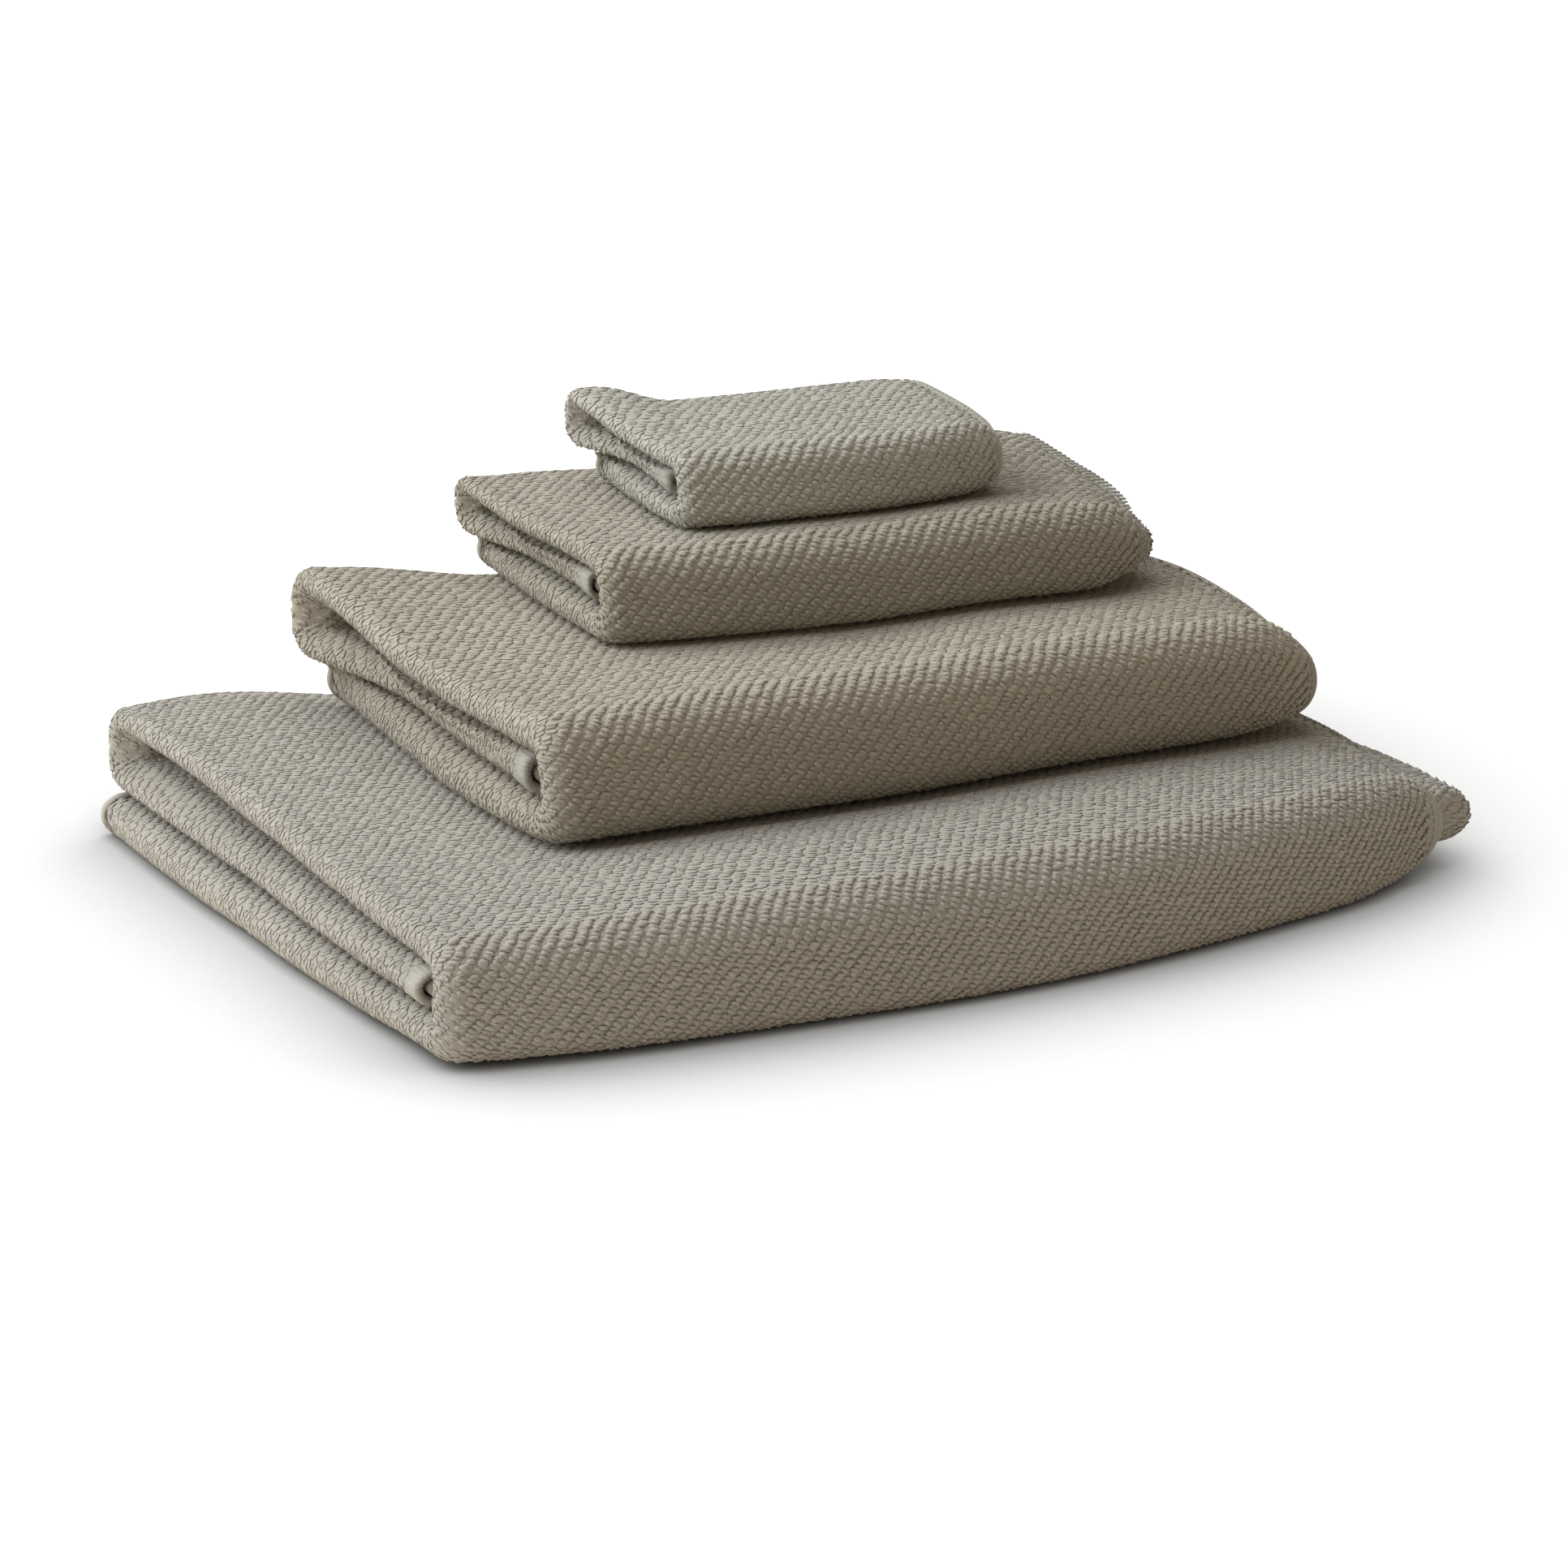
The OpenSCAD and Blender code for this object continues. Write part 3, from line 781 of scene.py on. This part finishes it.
def stitchTree():
    # stitches at even steps along a line, each turned to lie on the cloth at a slant
    tree, get, out = newTree("hemStitches", [
        ("Stitch", "Object", None), ("Material", "Material", None), ("Spacing", "Float", 0.003),
        ("Slant", "Float", 0.0), ("Stitch Size", "Vector", None), ("Seed", "Int", 1)])
    line = addNode(tree, "GeometryNodeMeshToCurve")
    feed(tree, get["Geometry"], line.inputs["Mesh"])
    spaced = addNode(tree, "GeometryNodeResampleCurve", mode="LENGTH")
    feed(tree, line.outputs[0], spaced.inputs["Curve"])
    feed(tree, get["Spacing"], spaced.inputs["Length"])
    outward = addNode(tree, "GeometryNodeInputNamedAttribute", data_type="FLOAT_VECTOR")
    outward.inputs["Name"].default_value = "outward"
    facing = addNode(tree, "FunctionNodeAxesToRotation", primary_axis="Z", secondary_axis="X")
    feed(tree, outward.outputs["Attribute"], facing.inputs[0])
    feed(tree, addNode(tree, "GeometryNodeInputTangent").outputs[0], facing.inputs[1])
    sway = addNode(tree, "FunctionNodeRandomValue", data_type="FLOAT_VECTOR")
    feed(tree, get["Seed"], sway.inputs["Seed"])
    feed(tree, tuple(-a for a in stitchSway), sway.inputs[0])
    feed(tree, stitchSway, sway.inputs[1])
    turn = vectorMath(tree, "ADD", sway.outputs[0], combine(tree, 0.0, 0.0, get["Slant"]))
    turned = addNode(tree, "FunctionNodeRotateRotation", rotation_space="LOCAL")
    feed(tree, facing.outputs[0], turned.inputs[0])
    euler = addNode(tree, "FunctionNodeEulerToRotation")
    feed(tree, turn, euler.inputs[0])
    feed(tree, euler.outputs[0], turned.inputs[1])
    stitch = addNode(tree, "GeometryNodeObjectInfo")
    feed(tree, get["Stitch"], stitch.inputs["Object"])
    sew = addNode(tree, "GeometryNodeInstanceOnPoints")
    feed(tree, spaced.outputs[0], sew.inputs["Points"])
    feed(tree, stitch.outputs["Geometry"], sew.inputs["Instance"])
    feed(tree, turned.outputs[0], sew.inputs["Rotation"])
    feed(tree, get["Stitch Size"], sew.inputs["Scale"])
    real = addNode(tree, "GeometryNodeRealizeInstances")
    feed(tree, sew.outputs[0], real.inputs[0])
    dress = addNode(tree, "GeometryNodeSetMaterial")
    feed(tree, real.outputs[0], dress.inputs["Geometry"])
    feed(tree, get["Material"], dress.inputs["Material"])
    feed(tree, dress.outputs[0], out)
    return tree


def shaderGroup(name, inputs, outputs):
    tree = bpy.data.node_groups.new(name, "ShaderNodeTree")
    for label, kind, value in inputs:
        item = tree.interface.new_socket(name=label, in_out="INPUT", socket_type="NodeSocket" + kind)
        item.default_value = value
    for label, kind in outputs:
        tree.interface.new_socket(name=label, in_out="OUTPUT", socket_type="NodeSocket" + kind)
    return tree, addNode(tree, "NodeGroupInput").outputs, addNode(tree, "NodeGroupOutput").inputs


def noise(tree, scale, detail, roughness=0.5):
    place = addNode(tree, "ShaderNodeTexCoord").outputs["Object"]
    node = addNode(tree, "ShaderNodeTexNoise")
    feed(tree, place, node.inputs["Vector"])
    feed(tree, scale, node.inputs["Scale"])
    feed(tree, detail, node.inputs["Detail"])
    feed(tree, roughness, node.inputs["Roughness"])
    return node.outputs["Fac"]


def ranged(tree, value, low, high, toLow, toHigh):
    node = addNode(tree, "ShaderNodeMapRange")
    for item, socket in zip((value, low, high, toLow, toHigh), node.inputs):
        feed(tree, item, socket)
    return node.outputs[0]


def clothToneGroup():
    # cotton colour that varies in soft patches and from yarn to yarn
    tree, get, out = shaderGroup(
        "clothTone",
        [("Color", "Color", (0.5, 0.5, 0.5, 1)), ("Patch Scale", "Float", 14.0),
         ("Patch Amount", "Float", 0.05), ("Yarn Scale", "Float", 900.0), ("Yarn Amount", "Float", 0.08)],
        [("Color", "Color"), ("Fuzz", "Float")])
    patch = noise(tree, get["Patch Scale"], 3.0)
    yarn = noise(tree, get["Yarn Scale"], 2.0, 0.6)
    patchShift = plainMath(tree, "MULTIPLY", plainMath(tree, "SUBTRACT", patch, 0.5), get["Patch Amount"])
    yarnShift = plainMath(tree, "MULTIPLY", plainMath(tree, "SUBTRACT", yarn, 0.5), get["Yarn Amount"])
    level = plainMath(tree, "ADD", plainMath(tree, "ADD", patchShift, yarnShift), 1.0)
    scaled = vectorMath(tree, "SCALE", get["Color"])
    feed(tree, level, scaled.node.inputs["Scale"])
    feed(tree, scaled, out["Color"])
    feed(tree, yarn, out["Fuzz"])
    return tree


# terry and hem colours, as linear values
tones = dict(
    bath_sheet=(0.525, 0.492, 0.44), bath_towel=(0.535, 0.485, 0.40),
    hand_towel=(0.52, 0.477, 0.395), washcloth=(0.57, 0.547, 0.485),
    hem=(0.51, 0.483, 0.425), thread=(0.45, 0.43, 0.385))

# each finish: patch and yarn are a pattern's scale and amount, bump its strength and height in metres
finishes = dict(
    # the terry's ground between the loops is darkened and warmed: painted shade
    terry=dict(roughness=0.92, sheen=0.42, sheenTint=(1.0, 0.96, 0.90), patch=(13.0, 0.10),
               yarn=(1300.0, 0.18), bump=(1.0, 0.0005), groundPaintedShade=0.95, loopTint=(0.93, 1.06)),
    hem=dict(roughness=0.85, sheen=0.12, sheenTint=(1.0, 0.98, 0.95), patch=(20.0, 0.06),
             yarn=(1500.0, 0.12), bump=(0.5, 0.0003), weaveScale=330.0, weaveTint=(0.90, 1.05)),
    thread=dict(roughness=0.6, sheen=0.1, sheenTint=(1, 1, 1), patch=(40.0, 0.1),
                yarn=(2500.0, 0.3), bump=(0.5, 0.0002)))


def newMaterial(name, finish, tone, toneGroup):
    # a matt cotton, with its tone group placed and its shader's plain values set
    material = bpy.data.materials.new(name)
    material.use_nodes = True
    tree = material.node_tree
    shader = tree.nodes["Principled BSDF"]
    shader.inputs["Roughness"].default_value = finish["roughness"]
    shader.inputs["Specular IOR Level"].default_value = 0.15
    shader.inputs["Sheen Weight"].default_value = finish["sheen"]
    shader.inputs["Sheen Roughness"].default_value = 0.6
    shader.inputs["Sheen Tint"].default_value = (*finish["sheenTint"], 1)
    cloth = addNode(tree, "ShaderNodeGroup", node_tree=toneGroup)
    cloth.inputs["Color"].default_value = (*tone, 1.0)
    cloth.inputs["Patch Scale"].default_value, cloth.inputs["Patch Amount"].default_value = finish["patch"]
    cloth.inputs["Yarn Scale"].default_value, cloth.inputs["Yarn Amount"].default_value = finish["yarn"]
    return material, tree, shader, cloth


def dimmed(tree, color, level):
    node = vectorMath(tree, "SCALE", color)
    feed(tree, level, node.node.inputs["Scale"])
    return node


def addBump(tree, shader, height, finish):
    strength, distance = finish["bump"]
    bump = addNode(tree, "ShaderNodeBump")
    bump.inputs["Strength"].default_value = strength
    bump.inputs["Distance"].default_value = distance
    feed(tree, height, bump.inputs["Height"])
    feed(tree, bump.outputs[0], shader.inputs["Normal"])


def terryMaterial(name, tone, toneGroup, ground):
    # the ground between the loops is painted a little darker and warmer than the loops: painted shade,
    # standing in for the shade that falls in the crevices between them
    finish = finishes["terry"]
    paintedShade = finish["groundPaintedShade"] if ground else 1.0
    tone = tuple(c * paintedShade ** (1 + 0.25 * k) for k, c in enumerate(tone))
    material, tree, shader, cloth = newMaterial(name, finish, tone, toneGroup)
    color = cloth.outputs["Color"]
    if not ground:
        tint = addNode(tree, "ShaderNodeAttribute", attribute_name="loopTint")
        color = dimmed(tree, color, ranged(tree, tint.outputs["Fac"], 0.0, 1.0, *finish["loopTint"]))
    feed(tree, color, shader.inputs["Base Color"])
    addBump(tree, shader, cloth.outputs["Fuzz"], finish)
    return material


def hemMaterial(name, tone, toneGroup):
    # plain weave, drawn by two fine crossed waves
    finish = finishes["hem"]
    material, tree, shader, cloth = newMaterial(name, finish, tone, toneGroup)
    place = addNode(tree, "ShaderNodeTexCoord").outputs["Object"]
    heights = []
    for direction in ("X", "Z"):
        wave = addNode(tree, "ShaderNodeTexWave", wave_type="BANDS", bands_direction=direction)
        feed(tree, place, wave.inputs["Vector"])
        wave.inputs["Scale"].default_value = finish["weaveScale"]
        wave.inputs["Distortion"].default_value = 0.6
        heights.append(plainMath(tree, "MULTIPLY", wave.outputs["Fac"], 0.5))
    weave = plainMath(tree, "ADD", *heights)
    level = ranged(tree, weave, 0.0, 1.0, *finish["weaveTint"])
    feed(tree, dimmed(tree, cloth.outputs["Color"], level), shader.inputs["Base Color"])
    addBump(tree, shader, weave, finish)
    return material


def threadMaterial(name, tone, toneGroup):
    finish = finishes["thread"]
    material, tree, shader, cloth = newMaterial(name, finish, tone, toneGroup)
    feed(tree, cloth.outputs["Color"], shader.inputs["Base Color"])
    addBump(tree, shader, cloth.outputs["Fuzz"], finish)
    return material


for t in towels:
    words = t["name"].split("_")
    t["label"] = words[0] + "".join(w.capitalize() for w in words[1:])
    findPlace(t)
for upper, lower in zip(towels[1:], towels):
    upper["below"] = lower

toneGroup = clothToneGroup()
hemCotton = hemMaterial("hemCotton", tones["hem"], toneGroup)
sewingThread = threadMaterial("sewingThread", tones["thread"], toneGroup)
loopShape = makeLoop("terryLoop", sides=5, ringPlace=0.27, middle=0.16, ends=0.02)
stitchShape = makeLoop("sewnStitch", sides=5, ringPlace=0.36, middle=0.22, ends=-0.1)
terryPile = pileTree()
hemStitches = stitchTree()
print("materials, loop and stitch ready")


def makePile(t, cloth, material):
    # loops by region, so that no piece grows too heavy
    run, ends = t["run"], t["ends"]
    part, down = run["part"], run["run"]
    reach = ends["run"]
    underFront, pastFold, pastTip = 0.004, 0.006, 0.003
    frontLow, frontHigh = down[part == 1].min() - underFront, down[part == 2].min()
    backLow = down[part == 3].min()
    foldEdge = reach[ends["shown"] == 2].max()
    hemEdge = reach.max()
    middle = (foldEdge + hemEdge) / 2
    leftReach = foldEdge - reach[ends["shown"] == 2].min() + pastFold
    regions = [("Front", (foldEdge, frontLow), (hemEdge, frontHigh)),
               ("Back", (foldEdge, backLow), (hemEdge, down.max())),
               ("LeftFolds", (foldEdge - leftReach, down.min()), (foldEdge, down.max()))]
    if t["name"] == "bath_sheet":
        regions += [("TopLeft", (foldEdge, frontHigh), (middle, backLow)),
                    ("TopRight", (middle, frontHigh), (hemEdge, backLow))]
    else:
        regions.append(("Top", (foldEdge, frontHigh), (hemEdge, backLow)))
    if t["plies"] == 4:
        peekReach = reach[ends["shown"] == 3]
        regions.append(("RightFolds", (peekReach.min() - pastTip, down.min()),
                        (peekReach.max() + pastTip, down.max())))
    made = []
    for k, (label, low, high) in enumerate(regions):
        kind = pileKinds["front" if label == "Front" else "rest"]
        piece = runTree(cloth, terryPile, {
            "Loop": loopShape, "Material": material, "Low": (*low, 0.0), "High": (*high, 0.0),
            "Rib Pitch": t["ribPitch"], "Loop Gap": t["loopGap"],
            "Rib Angle": math.radians(t["ribAngle"]), "Bar Tilt": math.radians(barTilt),
            "Loop Size": (t["ribPitch"] * kind["long"], t["loopGap"], kind["tall"]),
            "Sway": kind["sway"], "Jitter": kind["jitter"], "Seed": t["seed"] * 10 + k},
            t["label"] + "Pile" + label)
        made.append(piece)
        print(piece.name, len(piece.data.polygons), "faces")
    return made


for t in towels:
    tone = tones[t["name"]]
    ground = terryMaterial(t["label"] + "Ground", tone, toneGroup, True)
    loops = terryMaterial(t["label"] + "Loops", tone, toneGroup, False)
    cloth = makeCloth(t, ground)
    piles = makePile(t, cloth, loops)
    outerHem = makeEndHem(t, 0, hemCotton)
    innerHem = makeEndHem(t, 1, hemCotton)
    tuckedHem = makeSideHem(t, True, hemCotton)
    backHem = makeSideHem(t, False, hemCotton)
    thread = makeStitches(t, hemStitches, stitchShape, sewingThread)
    pieces = [(cloth, "terry"), (outerHem, "outer_end_hem"), (innerHem, "inner_end_hem"),
              (tuckedHem, "tucked_side_hem"), (backHem, "back_side_hem"), (thread, "hem_thread")]
    for piece, node in pieces:
        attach(piece, t["name"])
        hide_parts(t["name"] + "_" + node)
    for piece in piles:
        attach(piece, t["name"])
    print(t["label"], "built")

bpy.data.objects.remove(loopShape)
bpy.data.objects.remove(stitchShape)

# the floor and what surrounds it; colours are linear values
floorSet = dict(
    half=6, roughness=0.9, gloss=0.1,
    bounce=(0.94, 0.87, 0.76, 1),  # warm where it lights the pile
    seen=(0.93, 0.93, 0.93, 1),  # plain to look at
    glow=1.25, glowFrom=0.30, glowTo=0.80, glowNear=0.70,  # white away from the pile
    shadeReach=0.19, shadeDepth=2.0)  # painted soft shadow round the base
roomSet = dict(color=(1.0, 0.87, 0.68, 1), strength=0.19, backdrop=(1, 1, 1, 1))
lightSet = dict(
    windowLeft=dict(place=(-1.55, 0.55, 1.20), size=2.0, power=31, color=(0.91, 0.965, 1.0)),
    skyAbove=dict(place=(-0.3, 0.6, 2.2), size=3.0, power=35, color=(0.95, 0.98, 1.0)))


def mixShaders(tree, amount, first, second, surface):
    node = addNode(tree, "ShaderNodeMixShader")
    for source, socket in zip((amount, first, second), node.inputs):
        feed(tree, source, socket)
    feed(tree, node.outputs[0], surface)


def makeFloor():
    half = floorSet["half"]
    mesh = bpy.data.meshes.new("floor")
    mesh.from_pydata([(-half, -half, 0), (half, -half, 0), (half, half, 0), (-half, half, 0)], [],
                     [(0, 1, 2, 3)])
    obj = bpy.data.objects.new("floor", mesh)
    bpy.context.scene.collection.objects.link(obj)
    paper = bpy.data.materials.new("floorPaper")
    paper.use_nodes = True
    tree = paper.node_tree
    shader = tree.nodes["Principled BSDF"]
    shader.inputs["Roughness"].default_value = floorSet["roughness"]
    shader.inputs["Specular IOR Level"].default_value = floorSet["gloss"]
    seen = addNode(tree, "ShaderNodeLightPath").outputs["Is Camera Ray"]
    color = addNode(tree, "ShaderNodeMix", data_type="RGBA")
    for source, socket in ((seen, 0), (floorSet["bounce"], 6), (floorSet["seen"], 7)):
        feed(tree, source, color.inputs[socket])
    feed(tree, color.outputs[2], shader.inputs["Base Color"])
    # a glow that hides the floor's far edge, dimmed near the pile into a painted soft shadow round the base
    paintedShadowNear = addNode(tree, "ShaderNodeAmbientOcclusion", samples=8)
    paintedShadowNear.inputs["Distance"].default_value = floorSet["shadeReach"]
    paintedShadowDeeper = addNode(tree, "ShaderNodeGamma")
    paintedShadowDeeper.inputs["Gamma"].default_value = floorSet["shadeDepth"]
    feed(tree, paintedShadowNear.outputs["Color"], paintedShadowDeeper.inputs["Color"])
    glow = addNode(tree, "ShaderNodeEmission")
    glow.inputs["Strength"].default_value = floorSet["glow"]
    feed(tree, paintedShadowDeeper.outputs[0], glow.inputs["Color"])
    fromMiddle = vectorMath(tree, "LENGTH", addNode(tree, "ShaderNodeTexCoord").outputs["Object"], out=1)
    away = addNode(tree, "ShaderNodeMapRange", interpolation_type="SMOOTHSTEP")
    limits = (fromMiddle, floorSet["glowFrom"], floorSet["glowTo"], floorSet["glowNear"], 1.0)
    for source, socket in zip(limits, away.inputs):
        feed(tree, source, socket)
    mixShaders(tree, plainMath(tree, "MULTIPLY", seen, away.outputs[0]), shader.outputs[0], glow.outputs[0],
               tree.nodes["Material Output"].inputs["Surface"])
    mesh.materials.append(paper)
    return obj


def makeRoom():
    # dim and warm as light, plain white to look at
    room = bpy.data.worlds.new("studio")
    bpy.context.scene.world = room
    room.use_nodes = True
    tree = room.node_tree
    around = tree.nodes["Background"]
    around.inputs["Color"].default_value = roomSet["color"]
    around.inputs["Strength"].default_value = roomSet["strength"]
    backdrop = addNode(tree, "ShaderNodeBackground")
    backdrop.inputs["Color"].default_value = roomSet["backdrop"]
    seen = addNode(tree, "ShaderNodeLightPath").outputs["Is Camera Ray"]
    mixShaders(tree, seen, around.outputs[0], backdrop.outputs[0],
               tree.nodes["World Output"].inputs["Surface"])


def areaLight(name, place, size, power, color):
    # a soft round light that faces the middle of the pile
    light = bpy.data.lights.new(name, "AREA")
    light.shape = "DISK"
    light.size = size
    light.energy = power
    light.color = color
    obj = bpy.data.objects.new(name, light)
    obj.location = place
    target = Vector((0, 0, 0.08))
    obj.rotation_euler = (target - Vector(place)).to_track_quat("-Z", "Y").to_euler()
    bpy.context.scene.collection.objects.link(obj)


floor = makeFloor()
makeRoom()
for name, values in lightSet.items():
    areaLight(name, **values)
print("floor, room and lights set")

# the camera stands to the front left, a little above the pile
cameraSet = dict(
    place=(-0.8314, -1.3992, 0.5619), azimuth=-30.747, elevation=18.066, roll=0.733, lens=95.16, film=36)
camera = bpy.data.cameras.new("camera")
camera.lens = cameraSet["lens"]
camera.sensor_width = cameraSet["film"]
eye = bpy.data.objects.new("camera", camera)
a, e, roll = (math.radians(cameraSet[k]) for k in ("azimuth", "elevation", "roll"))
ahead = Vector((-math.sin(a) * math.cos(e), math.cos(a) * math.cos(e), -math.sin(e)))
right = ahead.cross(Vector((0, 0, 1))).normalized()
up = right.cross(ahead)
turnedRight = math.cos(roll) * right + math.sin(roll) * up
turnedUp = math.cos(roll) * up - math.sin(roll) * right
eye.matrix_world = Matrix.Translation(Vector(cameraSet["place"])) @ Matrix(
    (turnedRight, turnedUp, -ahead)).transposed().to_4x4()
bpy.context.scene.collection.objects.link(eye)
bpy.context.scene.camera = eye
bpy.context.scene.view_settings.view_transform = "Standard"
print("camera set")
